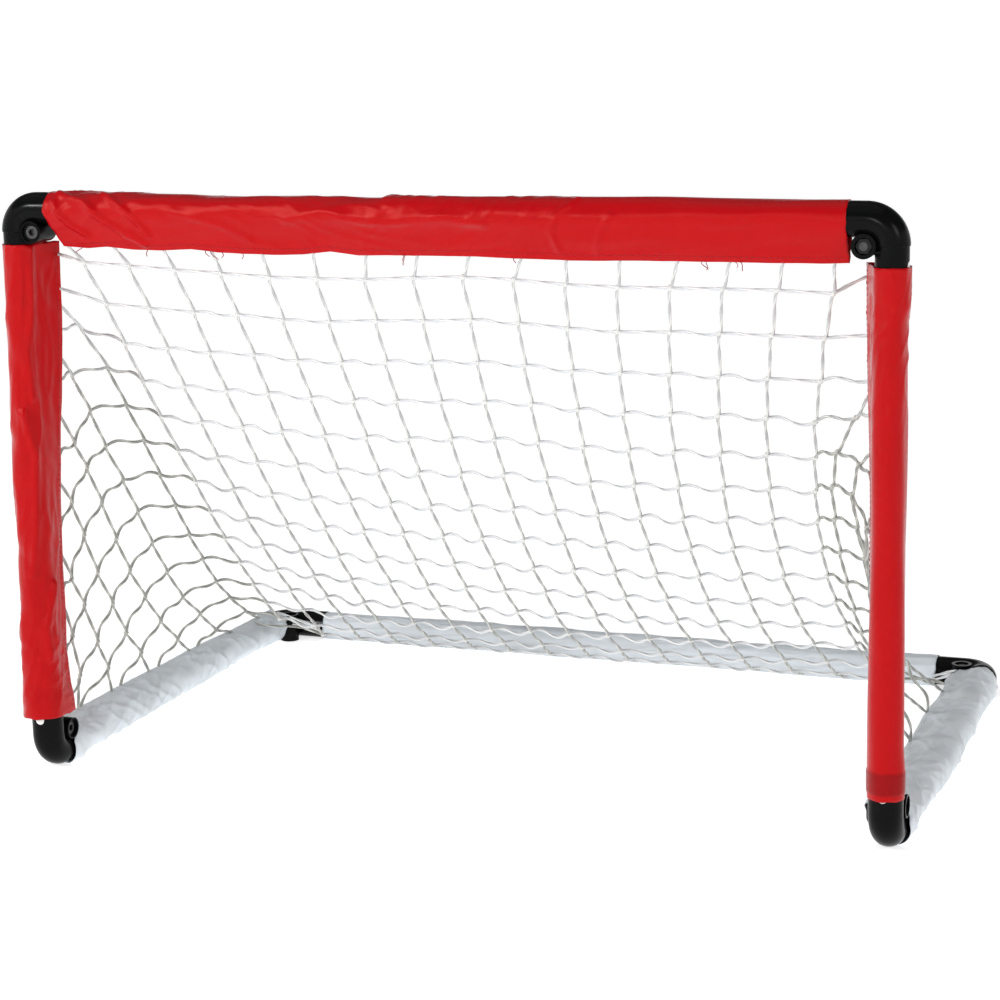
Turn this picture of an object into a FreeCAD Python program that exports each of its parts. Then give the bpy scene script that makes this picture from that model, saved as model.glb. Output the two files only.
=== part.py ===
import FreeCAD
import Part

import math
import os

V = FreeCAD.Vector

# Folding goal net, in millimetres.
# X runs across the mouth, +Y runs from the mouth to the back, +Z is up.
# The origin is on the floor, at the middle of the overall width and depth.

# Frame: all four short tubes are one length, so that the goal folds flat
frame_width = 685.6         # post axis to post axis
leg_length = 443.1          # corner to corner, posts and side tubes alike
tube_outer = 21.3
tube_wall = 2.0

# Corner mouldings
elbow_outer = 25.4
bend_radius = 17.7          # centreline, and so the distance from tube axis to pivot
collar_passage = 16.0       # hollow from the seam to the tube
elbow_leg = 32.0            # straight socket beyond the bend
collar_outer = 24.0
collar_length = 30.0
seam_gap = 0.3              # between bend and collar
socket_clearance = 0.1      # tube in socket, radial
seat_wall = 1.2             # between the knuckle relief and the end of the tube

# Pivot knuckles, one half on the bend and one half on the collar
knuckle_outer = 17.5
knuckle_gap = 0.3           # between the two halves, along the pivot
knuckle_relief = 0.3        # round a knuckle, in the other moulding
rim_bore = 15.0
rim_depth = 2.0
head_bore = 10.6
head_bore_depth = 6.2
nut_bore = 11.9
nut_bore_depth = 7.0
pivot_clearance = 0.06      # bolt in its holes, radial
web_thickness = 1.6
web_depth = 5.0             # from the seam down to the collar's web

# Pivot bolt and nut
bolt_diameter = 6.0
bolt_length = 16.0
bolt_head_diameter = 10.0
bolt_head_height = 5.8
hex_key = 5.0
hex_key_depth = 3.0
nut_across_flats = 10.0
nut_height = 5.0
nut_play = 0.1

# Plugs that lock the tubes in the mouldings
plug_from_bend = 14.1       # middle of the plug, from the end of the bend
plug_from_seam = 14.2       # middle of the plug, from the seam
plug_head = 7.3
plug_head_depth = 0.9
plug_sunk = 0.3             # flat head below the round crown
plug_shank = 4.4
plug_shank_reach = 4.6      # from the underside of the head into the tube
plug_clearance = 0.05

# Sleeves
front_sleeve_outer = 27.2
front_sleeve_bore = 26.0
side_sleeve_outer = 26.6
side_sleeve_bore = 24.6
rear_sleeve_outer = 25.2
rear_sleeve_bore = 21.9
hem_radius = 1.2            # doubled edge of a sleeve, where the net is sewn in
crossbar_sleeve_end = 29.8  # from the post axis
crossbar_hem_drop = 30.4    # hem below the crossbar's axis
crossbar_hem_back = 2.0
post_sleeve_top_gap = 0.8   # below the pivot knuckle
left_post_sleeve_foot = 46.0
right_post_sleeve_foot = 42.0
post_hem_top = (22.0, 24.0)     # inwards and back from the post's axis
post_hem_foot = (12.8, 18.0)
side_sleeve_gap = 0.75      # from the pivot knuckles
left_side_hem = (-3.5, 19.7)    # inwards and up from the tube's axis
right_side_hem = (25.0, 4.3)
rear_hem = (15.0, -9.8)     # forwards and up from the tube's axis
rear_sleeve_gap = 0.3       # from the elbows
fold_depth = 1.3            # how far a hem waves to each side

# Net
cord = 2.6
top_column = 40.1           # between cords at the crossbar
waist_column = 36.5         # drawn together where the net hangs free
foot_column = 38.9
first_row = 25.0            # below the crossbar's hem
row = 38.4
strip_rows = 3              # the sagging back is made of flat strips, this many rows deep
strip_count = 5             # and the last one has the rows that are left
back_sag = 97.0             # its middle hangs this far below a straight line
side_mesh = 44.45
hem_gap = 0.3               # net to hem
smallest_gap = 60.0         # square millimetres, below which a cut mesh stays closed
panel_gap = 1.0             # between back and side panels
corner_pass = 1.0           # net clear of the rear corner mouldings

# Worked out from the sizes above
tube_r = tube_outer / 2
elbow_r = elbow_outer / 2
collar_r = collar_outer / 2
knuckle_r = knuckle_outer / 2
knuckle_end = elbow_outer / 2
socket_r = tube_r + socket_clearance
relief_r = knuckle_r + knuckle_relief
tube_seat = math.sqrt(relief_r**2 - (bend_radius - socket_r)**2) + seat_wall
head_seat = knuckle_end - rim_depth - head_bore_depth
nut_seat = knuckle_end - nut_bore_depth
half_width = frame_width / 2
front_reach = front_sleeve_outer / 2
rear_reach = elbow_r
post_y = (front_reach - rear_reach) / 2 - leg_length / 2
rear_y = post_y + leg_length
base_z = elbow_r
crossbar_z = base_z + leg_length
pivot_y = post_y + bend_radius
pivot_z = base_z + bend_radius

origin = V(0, 0, 0)
axis_x = V(1, 0, 0)
axis_y = V(0, 1, 0)
axis_z = V(0, 0, 1)


def cylinder(radius, length, start, direction):
    return Part.makeCylinder(radius, length, start, direction)


def ring(outer_r, inner_r, length, start, direction):
    return cylinder(outer_r, length, start, direction).cut(cylinder(inner_r, length, start, direction))


def hexagon(across_flats, height, start, direction):
    corner_r = across_flats / math.sqrt(3)
    points = [V(corner_r * math.cos(math.radians(a)), corner_r * math.sin(math.radians(a)), 0)
              for a in range(0, 361, 60)]
    prism = Part.Face(Part.makePolygon(points)).extrude(V(0, 0, height))
    prism.Placement = FreeCAD.Placement(start, FreeCAD.Rotation(axis_z, direction))
    return prism


# Corner mouldings are drawn about their pivot, which runs along Y.
# The elbow's bend starts at the seam, left of the pivot, and its socket runs off along +X.
# The collar hangs below the seam and its socket opens along -Z.

def bend(radius):
    section = Part.Face(Part.Wire(Part.makeCircle(radius, V(-bend_radius, 0, 0), axis_z)))
    return section.revolve(origin, axis_y, 90)


def elbow():
    leg_start = V(0, 0, bend_radius)
    body = bend(elbow_r)
    body = body.fuse(cylinder(elbow_r, elbow_leg, leg_start, axis_x))
    knuckle_start = V(0, -knuckle_end, 0)
    body = body.fuse(cylinder(knuckle_r, knuckle_end - knuckle_gap / 2, knuckle_start, axis_y))
    # Hollows: tube socket, room for the collar's knuckle, bolt and plug
    body = body.cut(cylinder(socket_r, elbow_leg, leg_start + V(tube_seat, 0, 0), axis_x))
    body = body.cut(cylinder(relief_r, elbow_outer, V(0, -knuckle_gap / 2, 0), axis_y))
    body = body.cut(cylinder(rim_bore / 2, rim_depth, knuckle_start, axis_y))
    body = body.cut(cylinder(head_bore / 2, rim_depth + head_bore_depth, knuckle_start, axis_y))
    body = body.cut(cylinder(bolt_diameter / 2 + pivot_clearance, knuckle_end, knuckle_start, axis_y))
    return body.cut(plug_hole(V(plug_from_bend, 0, bend_radius), axis_z, elbow_r)).removeSplitter()


def collar():
    top = V(-bend_radius, 0, -seam_gap)
    down = -axis_z
    body = cylinder(collar_r, collar_length - seam_gap, top, down)
    body = body.cut(cylinder(relief_r, elbow_outer, V(0, knuckle_gap / 2 - elbow_outer, 0), axis_y))
    body = body.fuse(cylinder(knuckle_r, knuckle_end - knuckle_gap / 2, V(0, knuckle_gap / 2, 0), axis_y))
    # A web stiffens the knuckle where it stands clear of the ring
    web_side = knuckle_gap / 2
    web = Part.makeBox(bend_radius, collar_r - web_side - web_thickness, web_thickness,
                       V(-bend_radius, web_side, -web_depth))
    body = body.fuse(web)
    body = body.cut(cylinder(collar_passage / 2, tube_seat, V(-bend_radius, 0, 0), down))
    body = body.cut(cylinder(socket_r, collar_length, V(-bend_radius, 0, -tube_seat), down))
    outer_face = V(0, knuckle_end, 0)
    body = body.cut(cylinder(nut_bore / 2, nut_bore_depth, outer_face, -axis_y))
    body = body.cut(cylinder(bolt_diameter / 2 + pivot_clearance, knuckle_end, outer_face, -axis_y))
    return body.cut(plug_hole(V(-bend_radius, 0, -plug_from_seam), -axis_x, collar_r)).removeSplitter()


def plug_hole(middle, outwards, surface_r):
    seat = middle + outwards * (surface_r - plug_head_depth)
    hole = cylinder(plug_head / 2 + plug_clearance, 2 * plug_head_depth, seat, outwards)
    return hole.fuse(cylinder(plug_shank / 2 + plug_clearance, surface_r, middle, outwards))


def plug(middle, outwards, surface_r):
    seat = middle + outwards * (surface_r - plug_head_depth)
    head = cylinder(plug_head / 2, plug_head_depth - plug_sunk, seat, outwards)
    return head.fuse(cylinder(plug_shank / 2, plug_shank_reach, seat, -outwards))


def pivot_bolt():
    seat = V(0, -head_seat, 0)
    bolt = cylinder(bolt_head_diameter / 2, bolt_head_height, seat, -axis_y)
    bolt = bolt.fuse(cylinder(bolt_diameter / 2, bolt_length, seat, axis_y))
    key_top = seat - axis_y * bolt_head_height
    return bolt.cut(hexagon(hex_key, hex_key_depth, key_top, axis_y))


def pivot_nut():
    seat = V(0, nut_seat + nut_play, 0)
    nut = hexagon(nut_across_flats, nut_height, seat, axis_y)
    return nut.cut(cylinder(bolt_diameter / 2, nut_height, seat, axis_y))


# Where each corner stands: its pivot, the way its elbow's socket runs, and the way back from its collar

def corner(pivot, leg_way, back_way):
    pivot_way = back_way.cross(leg_way)
    turn = FreeCAD.Matrix(leg_way.x, pivot_way.x, back_way.x, pivot.x,
                          leg_way.y, pivot_way.y, back_way.y, pivot.y,
                          leg_way.z, pivot_way.z, back_way.z, pivot.z,
                          0, 0, 0, 1)
    return FreeCAD.Placement(turn)


inner_x = half_width - bend_radius
corners = {
    "top_left": corner(V(-inner_x, post_y, crossbar_z - bend_radius), axis_x, axis_z),
    "top_right": corner(V(inner_x, post_y, crossbar_z - bend_radius), -axis_x, axis_z),
    "front_left": corner(V(-half_width, pivot_y, pivot_z), axis_z, -axis_y),
    "front_right": corner(V(half_width, pivot_y, pivot_z), axis_z, -axis_y),
    "rear_left": corner(V(-inner_x, rear_y - bend_radius, base_z), axis_x, axis_y),
    "rear_right": corner(V(inner_x, rear_y - bend_radius, base_z), -axis_x, axis_y),
}


def placed(shape, place):
    copy = shape.copy()
    copy.Placement = place.multiply(copy.Placement)
    return copy


# Tubes run from seat to seat, with a hole near each end for the plug's shank

def tube(start, end, holes):
    along = (end - start).normalize()
    body = ring(tube_r, tube_r - tube_wall, (end - start).Length, start, along)
    for middle, outwards in holes:
        body = body.cut(cylinder(plug_shank / 2 + plug_clearance, tube_outer, middle, outwards))
    return body


def cross_tube(y, z, outwards):
    end_x = inner_x - tube_seat
    hole_x = inner_x - plug_from_bend
    holes = [(V(-hole_x, y, z), outwards), (V(hole_x, y, z), outwards)]
    return tube(V(-end_x, y, z), V(end_x, y, z), holes)


def post_tube(x, outwards):
    foot = pivot_z + tube_seat
    top = crossbar_z - bend_radius - tube_seat
    holes = [(V(x, post_y, pivot_z + plug_from_bend), -axis_y),
             (V(x, post_y, crossbar_z - bend_radius - plug_from_seam), outwards)]
    return tube(V(x, post_y, foot), V(x, post_y, top), holes)


def side_tube(x, outwards):
    front = pivot_y + tube_seat
    back = rear_y - bend_radius - tube_seat
    holes = [(V(x, pivot_y + plug_from_seam, base_z), -axis_z),
             (V(x, rear_y - bend_radius - plug_from_seam, base_z), outwards)]
    return tube(V(x, front, base_z), V(x, back, base_z), holes)


# A sleeve's section is a loop of cloth round the tube, drawn out to a flat hem on one side

def sleeve_section(centre, across, up, outer_r, hem):
    reach = math.hypot(hem[0], hem[1])
    lean = math.atan2(hem[1], hem[0])
    wrap = math.acos((outer_r - hem_radius) / reach)

    def point(radius, angle, middle):
        return middle + across * (radius * math.cos(angle)) + up * (radius * math.sin(angle))

    tip = point(reach, lean, centre)
    far = lean + math.pi
    quarter = (far + lean + wrap) / 2
    three_quarter = (far + lean + 2 * math.pi - wrap) / 2
    first = Part.Arc(point(outer_r, lean + wrap, centre), point(outer_r, quarter, centre),
                     point(outer_r, far, centre)).toShape()
    second = Part.Arc(point(outer_r, far, centre), point(outer_r, three_quarter, centre),
                      point(outer_r, lean - wrap, centre)).toShape()
    under = Part.makeLine(point(outer_r, lean - wrap, centre), point(hem_radius, lean - wrap, tip))
    fold = Part.Arc(point(hem_radius, lean - wrap, tip), point(hem_radius, lean, tip),
                    point(hem_radius, lean + wrap, tip)).toShape()
    over = Part.makeLine(point(hem_radius, lean + wrap, tip), point(outer_r, lean + wrap, centre))
    return Part.Wire([first, second, under, fold, over])


def sleeve(start, end, across, up, outer, bore, hem_start, hem_end, waves):
    # The hem goes straight from one end to the other and waves by a little on its way
    outer_r = outer / 2
    sections = []
    for n, wave in enumerate(waves):
        share = n / (len(waves) - 1)
        centre = start + (end - start) * share
        hem_across = hem_start[0] + (hem_end[0] - hem_start[0]) * share
        hem_up = hem_start[1] + (hem_end[1] - hem_start[1]) * share
        lean = math.atan2(hem_up, hem_across)
        hem = (hem_across - fold_depth * wave * math.sin(lean), hem_up + fold_depth * wave * math.cos(lean))
        sections.append(sleeve_section(centre, across, up, outer_r, hem))
    along = (end - start).normalize()
    body = Part.makeLoft(sections, True, True)
    return body.cut(cylinder(bore / 2, (end - start).Length, start, along))


def crossbar_sleeve():
    end_x = half_width - crossbar_sleeve_end
    body = sleeve(V(-end_x, post_y, crossbar_z), V(end_x, post_y, crossbar_z), axis_y, axis_z,
                  front_sleeve_outer, front_sleeve_bore,
                  (crossbar_hem_back, -crossbar_hem_drop), (crossbar_hem_back, -crossbar_hem_drop),
                  (0, -1, 0.6, -0.4, 1, 0.2, -0.8, 0))
    return body


def post_sleeve(side, foot_z):
    top_z = crossbar_z - bend_radius - knuckle_r - post_sleeve_top_gap
    inwards = axis_x * -side
    return sleeve(V(side * half_width, post_y, foot_z), V(side * half_width, post_y, top_z), inwards, axis_y,
                  front_sleeve_outer, front_sleeve_bore, post_hem_foot, post_hem_top,
                  (0, -0.8, 0.3, -1, 0.2, 0))


def side_sleeve(side, hem):
    front_y = pivot_y + knuckle_r + side_sleeve_gap
    back_y = rear_y - bend_radius - knuckle_r - side_sleeve_gap
    inwards = axis_x * -side
    body = sleeve(V(side * half_width, front_y, base_z), V(side * half_width, back_y, base_z), inwards, axis_z,
                  side_sleeve_outer, side_sleeve_bore, hem, hem, (0, -0.5, 0, -0.8, 0, 0))
    return above_floor(body)


def rear_sleeve():
    end_x = inner_x - elbow_leg - rear_sleeve_gap
    body = sleeve(V(-end_x, rear_y, base_z), V(end_x, rear_y, base_z), -axis_y, axis_z,
                  rear_sleeve_outer, rear_sleeve_bore, rear_hem, rear_hem, (0, 0.6, -0.3, 0.5, 0, 0.6, 0))
    return above_floor(body)


def above_floor(body):
    # Cloth lies flat where it meets the floor
    return body.cut(Part.makeBox(3 * half_width, 3 * leg_length, leg_length,
                                 V(-1.5 * half_width, -1.5 * leg_length, -leg_length)))


# Net panels: one flat face with a gap for each mesh, given the thickness of the cord.
# A panel's points are pairs of numbers in its own plane.

def clip(polygon, fence):
    # Keeps the part of a convex polygon inside a convex fence that runs anticlockwise
    for (ax, ay), (bx, by) in zip(fence, fence[1:] + fence[:1]):
        kept = []
        for (px, py), (qx, qy) in zip(polygon, polygon[1:] + polygon[:1]):
            p_in = (bx - ax) * (py - ay) - (by - ay) * (px - ax)
            q_in = (bx - ax) * (qy - ay) - (by - ay) * (qx - ax)
            if p_in >= 0:
                kept.append((px, py))
            if p_in * q_in < 0:
                share = p_in / (p_in - q_in)
                kept.append((px + (qx - px) * share, py + (qy - py) * share))
        polygon = kept
    return polygon


def area(polygon):
    return sum(px * qy - qx * py for (px, py), (qx, qy) in zip(polygon, polygon[1:] + polygon[:1])) / 2


def inset(fence, distance):
    # Each side of a convex outline moves inwards, and the new corners are where they meet
    lines = []
    for (ax, ay), (bx, by) in zip(fence, fence[1:] + fence[:1]):
        length = math.hypot(bx - ax, by - ay)
        nx, ny = -(by - ay) / length, (bx - ax) / length
        lines.append((nx, ny, nx * ax + ny * ay + distance))
    moved = []
    for (nx, ny, n), (mx, my, m) in zip(lines[-1:] + lines[:-1], lines):
        det = nx * my - ny * mx
        moved.append(((n * my - m * ny) / det, (nx * m - mx * n) / det))
    return moved


def net_panel(outline, start, step_a, step_b, count_a, count_b, corner_point, way_a, way_b):
    # Meshes lie at start + i * step_a + j * step_b, and corner_point with its two ways places the panel
    def world(point):
        return corner_point + way_a * point[0] + way_b * point[1]

    def wire(polygon):
        points = [world(p) for p in polygon]
        return Part.makePolygon(points + points[:1])

    normal = way_a.cross(way_b).normalize()
    fence = inset(outline, cord)
    wires = [wire(outline)]
    for i in range(count_a):
        for j in range(count_b):
            corners_of_mesh = []
            for a, b in ((i, j), (i + 1, j), (i + 1, j + 1), (i, j + 1)):
                corners_of_mesh.append((start[0] + a * step_a[0] + b * step_b[0],
                                        start[1] + a * step_a[1] + b * step_b[1]))
            gap = clip(inset(corners_of_mesh, cord / 2), fence)
            if len(gap) > 2 and area(gap) > smallest_gap:
                wires.append(wire(gap))
    panel = Part.Face(wires).extrude(normal * cord)
    panel.translate(normal * (-cord / 2))
    return panel


# The back net hangs from the crossbar's hem to the rear bar's hem
hem_to_cord = hem_radius + hem_gap
end_gap = hem_to_cord + fold_depth
back_top = V(0, post_y + crossbar_hem_back, crossbar_z - crossbar_hem_drop)
back_foot = V(0, rear_y - rear_hem[0], base_z + rear_hem[1])
side_net_x = half_width - post_hem_top[0] + hem_to_cord


def sagging(share):
    # A point on the hanging line, by its share of the way back
    point = back_top + (back_foot - back_top) * share
    return point - axis_z * (4 * back_sag * share * (1 - share))


def along_sag(lengths):
    # Points at these lengths down the hanging line
    steps = 400
    line = [sagging(n / steps) for n in range(steps + 1)]
    points = []
    walked = 0
    for p, q in zip(line, line[1:]):
        step = (q - p).Length
        while len(points) < len(lengths) and lengths[len(points)] <= walked + step:
            points.append(p + (q - p) * ((lengths[len(points)] - walked) / step))
        walked += step
    return points, walked


def back_net():
    # Rows: the hem's edge, then every row of knots, then the edge at the rear bar
    last_line = along_sag([])[1] - end_gap - 2 * hem_gap - cord / 2
    rows = int((last_line - first_row - 2 * cord) / row) + 1
    row_lengths = [end_gap + cord / 2] + [first_row + row * n for n in range(rows)] + [last_line]
    fold_rows = [n * strip_rows for n in range(strip_count) if n * strip_rows < rows] + [rows + 1]
    folds = along_sag([row_lengths[n] for n in fold_rows])[0]
    top_x = side_net_x - panel_gap - 1.5 * cord
    foot_x = min(half_width - right_side_hem[0], inner_x - knuckle_r - corner_pass) - panel_gap - cord / 2
    columns = int(2 * min((top_x - 2 * cord) / top_column, (foot_x - 2 * cord) / foot_column)) + 1

    def lines_of_row(n):
        # Where the cords cross a row, from edge to edge
        share = (row_lengths[n] - row_lengths[0]) / (row_lengths[-1] - row_lengths[0])
        straight = top_column + (foot_column - top_column) * share
        column = straight + (waist_column - (top_column + foot_column) / 2) * 4 * share * (1 - share)
        edge = top_x + (foot_x - top_x) * share
        first = -column * (columns - 1) / 2
        return [-edge] + [first + column * i for i in range(columns)] + [edge]

    thickness = axis_x.cross((back_foot - back_top).normalize()) * cord
    net = None
    for k, (first, last) in enumerate(zip(fold_rows, fold_rows[1:])):
        start, end = folds[k], folds[k + 1]
        way = (end - start).normalize()
        length = (end - start).Length
        # The outer rows have half a cord beyond their lines
        before = cord / 2 if first == 0 else 0
        after = cord / 2 if last == fold_rows[-1] else 0

        def world(point):
            return start + axis_x * point[0] + way * point[1]

        def wire(polygon):
            points = [world(p) for p in polygon]
            return Part.makePolygon(points + points[:1])

        heights = [length * (row_lengths[n] - row_lengths[first]) / (row_lengths[last] - row_lengths[first])
                   for n in range(first, last + 1)]
        crossings = [lines_of_row(n) for n in range(first, last + 1)]
        half = cord / 2
        left = [(crossings[n][0] - half, heights[n]) for n in range(len(heights))]
        right = [(crossings[n][-1] + half, heights[n]) for n in range(len(heights))]
        left[0], right[0] = (left[0][0], -before), (right[0][0], -before)
        left[-1], right[-1] = (left[-1][0], length + after), (right[-1][0], length + after)
        wires = [wire([left[0], right[0], right[-1], left[-1]])]
        for n in range(len(heights) - 1):
            for i in range(columns + 1):
                mesh = [(crossings[n][i], heights[n]), (crossings[n][i + 1], heights[n]),
                        (crossings[n + 1][i + 1], heights[n + 1]), (crossings[n + 1][i], heights[n + 1])]
                wires.append(wire(inset(mesh, half)))
        strip = Part.Face(wires).extrude(thickness)
        strip.translate(thickness * -0.5)
        net = net.fuse(strip) if net else strip
    return net


def side_net(side, side_hem):
    # Three corners fix the plane: high and low on the post's hem, and the back end of the side hem
    def on_post(hem, height):
        return V(side * (half_width - hem[0]), post_y + hem[1] + hem_to_cord, height)

    # The long edge runs straight down and back, beside the back net
    peak_y = post_y + post_hem_top[1] + hem_to_cord
    slope_of_back = (back_foot.z - back_top.z) / (back_foot.y - back_top.y)
    peak_z = back_top.z + (peak_y - back_top.y) * slope_of_back - cord / 2 - panel_gap
    peak = on_post(post_hem_top, peak_z)
    low_z = base_z + side_hem[1] + hem_to_cord + 2 * hem_gap
    low = on_post(post_hem_foot, max(low_z, pivot_z + knuckle_r) + cord)
    back_end_y = peak_y + (low_z - peak_z) / slope_of_back
    back_end = V(side * (half_width - side_hem[0]), back_end_y, low_z)
    way_a = (back_end - low).normalize()
    rise = peak - low
    way_b = (rise - way_a * rise.dot(way_a)).normalize()
    outline = [(0, 0), ((back_end - low).Length, 0), (rise.dot(way_a), rise.dot(way_b))]
    slope_x = outline[2][0] - outline[1][0]
    slope_y = outline[2][1]
    slope = math.hypot(slope_x, slope_y)
    up_slope = (slope_x / slope * side_mesh, slope_y / slope * side_mesh)
    off_slope = (-up_slope[1], up_slope[0])
    rows = int(slope / side_mesh) + 1
    columns = int(outline[1][0] / side_mesh) + 1
    return net_panel(outline, outline[1], up_slope, off_slope, rows, columns, low, way_a, way_b)


os.makedirs("parts", exist_ok=True)


def write(name, shape):
    shape.exportStep(os.path.join("parts", name + ".step"))


elbow_shape = elbow()
collar_shape = collar()
bolt_shape = pivot_bolt()
nut_shape = pivot_nut()
elbow_plug = plug(V(plug_from_bend, 0, bend_radius), axis_z, elbow_r)
collar_plug = plug(V(-bend_radius, 0, -plug_from_seam), -axis_x, collar_r)

for name, place in corners.items():
    write(name + "_elbow", placed(elbow_shape, place))
    write(name + "_collar", placed(collar_shape, place))

# A pivot's bolt and nut ride with its elbow
front_corners = ("top_left", "top_right", "front_left", "front_right")
rear_corners = ("rear_left", "rear_right")
for body_name, names in (("front_frame", front_corners), ("base_frame", rear_corners)):
    write(body_name + "_bolts", Part.makeCompound([placed(bolt_shape, corners[name]) for name in names]))
    write(body_name + "_nuts", Part.makeCompound([placed(nut_shape, corners[name]) for name in names]))

write("crossbar_tube", cross_tube(post_y, crossbar_z, axis_z))
write("left_post_tube", post_tube(-half_width, -axis_x))
write("right_post_tube", post_tube(half_width, axis_x))
write("left_side_tube", side_tube(-half_width, -axis_x))
write("right_side_tube", side_tube(half_width, axis_x))
write("rear_bar_tube", cross_tube(rear_y, base_z, axis_y))

# A plug rides with the moulding that it locks
front_plugs = [placed(elbow_plug, corners[name]) for name in front_corners]
front_plugs += [placed(collar_plug, corners[name]) for name in ("top_left", "top_right")]
base_plugs = [placed(elbow_plug, corners[name]) for name in rear_corners]
base_plugs += [placed(collar_plug, corners[name]) for name in ("front_left", "front_right") + rear_corners]
write("front_frame_plugs", Part.makeCompound(front_plugs))
write("base_frame_plugs", Part.makeCompound(base_plugs))

write("crossbar_sleeve", crossbar_sleeve())
write("left_post_sleeve", post_sleeve(-1, left_post_sleeve_foot))
write("right_post_sleeve", post_sleeve(1, right_post_sleeve_foot))
write("left_side_sleeve", side_sleeve(-1, left_side_hem))
write("right_side_sleeve", side_sleeve(1, right_side_hem))
write("rear_sleeve", rear_sleeve())

write("back_net", back_net())
write("left_net", side_net(-1, left_side_hem))
write("right_net", side_net(1, right_side_hem))
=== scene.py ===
import math

import bpy
import numpy as np
from mathutils import Matrix, Vector


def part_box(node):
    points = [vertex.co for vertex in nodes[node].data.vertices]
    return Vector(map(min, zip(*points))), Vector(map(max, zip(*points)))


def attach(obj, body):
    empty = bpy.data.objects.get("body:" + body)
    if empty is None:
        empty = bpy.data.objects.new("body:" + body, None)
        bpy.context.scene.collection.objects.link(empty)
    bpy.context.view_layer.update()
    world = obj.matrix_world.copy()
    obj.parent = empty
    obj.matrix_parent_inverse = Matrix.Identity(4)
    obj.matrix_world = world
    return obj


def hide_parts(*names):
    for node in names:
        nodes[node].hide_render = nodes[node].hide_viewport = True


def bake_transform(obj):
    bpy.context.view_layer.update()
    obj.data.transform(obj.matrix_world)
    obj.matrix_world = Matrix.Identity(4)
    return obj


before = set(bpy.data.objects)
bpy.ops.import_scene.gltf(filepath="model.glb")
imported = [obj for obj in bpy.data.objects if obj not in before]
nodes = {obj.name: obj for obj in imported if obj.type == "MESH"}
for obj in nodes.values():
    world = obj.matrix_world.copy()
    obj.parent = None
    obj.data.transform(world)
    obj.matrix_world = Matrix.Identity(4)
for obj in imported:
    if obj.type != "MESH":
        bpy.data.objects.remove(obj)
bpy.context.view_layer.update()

# Folding goal net: plastic corners and tubes come from the frame, cloth sleeves and the net are made here.
# Everything is in metres, X across the mouth, +Y to the back, Z up.


def axisOf(node):
    low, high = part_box(node)
    return (np.array(low) + np.array(high)) / 2


postY = axisOf("left_post_tube")[1]
halfWidth = -axisOf("left_post_tube")[0]
crossbarZ = axisOf("crossbar_tube")[2]
rearY = axisOf("rear_bar_tube")[1]
baseZ = axisOf("rear_bar_tube")[2]
bendRadius = 0.0177
pivotY, pivotZ = postY + bendRadius, baseZ + bendRadius
print("frame read: posts at", round(halfWidth, 4), round(postY, 4), "crossbar at", round(crossbarZ, 4))


# Node trees

class Wire:
    # A node's output socket; sums of wires add Math nodes
    def __init__(self, graph, socket):
        self.graph, self.socket = graph, socket

    def maths(self, operation, *values):
        return self.graph.node("ShaderNodeMath", {"operation": operation}, dict(enumerate(values)))

    def __add__(self, other):
        return self.maths("ADD", self, other)

    def __sub__(self, other):
        return self.maths("SUBTRACT", self, other)

    def __mul__(self, other):
        return self.maths("MULTIPLY", self, other)

    __radd__, __rmul__ = __add__, __mul__

    def sine(self):
        return self.maths("SINE", self)

    def out(self, name):
        return Wire(self.graph, self.socket.node.outputs[name])


class Graph:
    def __init__(self, tree):
        self.tree = tree
        tree.nodes.clear()

    def node(self, kind, settings=None, values=None, output=0):
        made = self.tree.nodes.new(kind)
        for name, value in (settings or {}).items():
            if name == "stops":
                while len(made.color_ramp.elements) < len(value):
                    made.color_ramp.elements.new(0.5)
                for element, (place, colour) in zip(made.color_ramp.elements, value):
                    element.position, element.color = place, colour
            else:
                setattr(made, name, value)
        for name, value in (values or {}).items():
            if isinstance(value, Wire):
                self.tree.links.new(value.socket, made.inputs[name])
            else:
                made.inputs[name].default_value = value
        return Wire(self, made.outputs[output]) if len(made.outputs) else None

    def mix(self, share, first, second):
        return self.node("ShaderNodeMix", {"data_type": "RGBA"}, {0: share, 6: first, 7: second}, 2)

    def objectPlace(self):
        return self.node("ShaderNodeTexCoord", None, None, "Object")

    def attribute(self, name):
        return self.node("ShaderNodeAttribute", {"attribute_name": name}, None, "Fac")

    def bump(self, height, strength, distance):
        return self.node("ShaderNodeBump", None,
                         {"Height": height, "Strength": strength, "Distance": distance})

    def noise(self, where, scale, detail=3.0, roughness=0.5):
        return self.node("ShaderNodeTexNoise", None,
                         {"Vector": where, "Scale": scale, "Detail": detail, "Roughness": roughness})


def newMaterial(name, viewColour):
    made = bpy.data.materials.new(name)
    made.use_nodes = True
    made.diffuse_color = viewColour
    return made, Graph(made.node_tree)


def finishMaterial(graph, values):
    shader = graph.node("ShaderNodeBsdfPrincipled", None, values)
    graph.node("ShaderNodeOutputMaterial", None, {"Surface": shader})


clothWeave = {
    "threadPitch": 0.0006, "slub": 0.3, "slubStretch": (900, 60, 1), "cloudScale": 22.0, "fineScale": 160.0,
    "bump": 0.20, "bumpDepth": 0.0003, "unevenGloss": 0.18, "doubledShare": 0.8,
}


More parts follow.
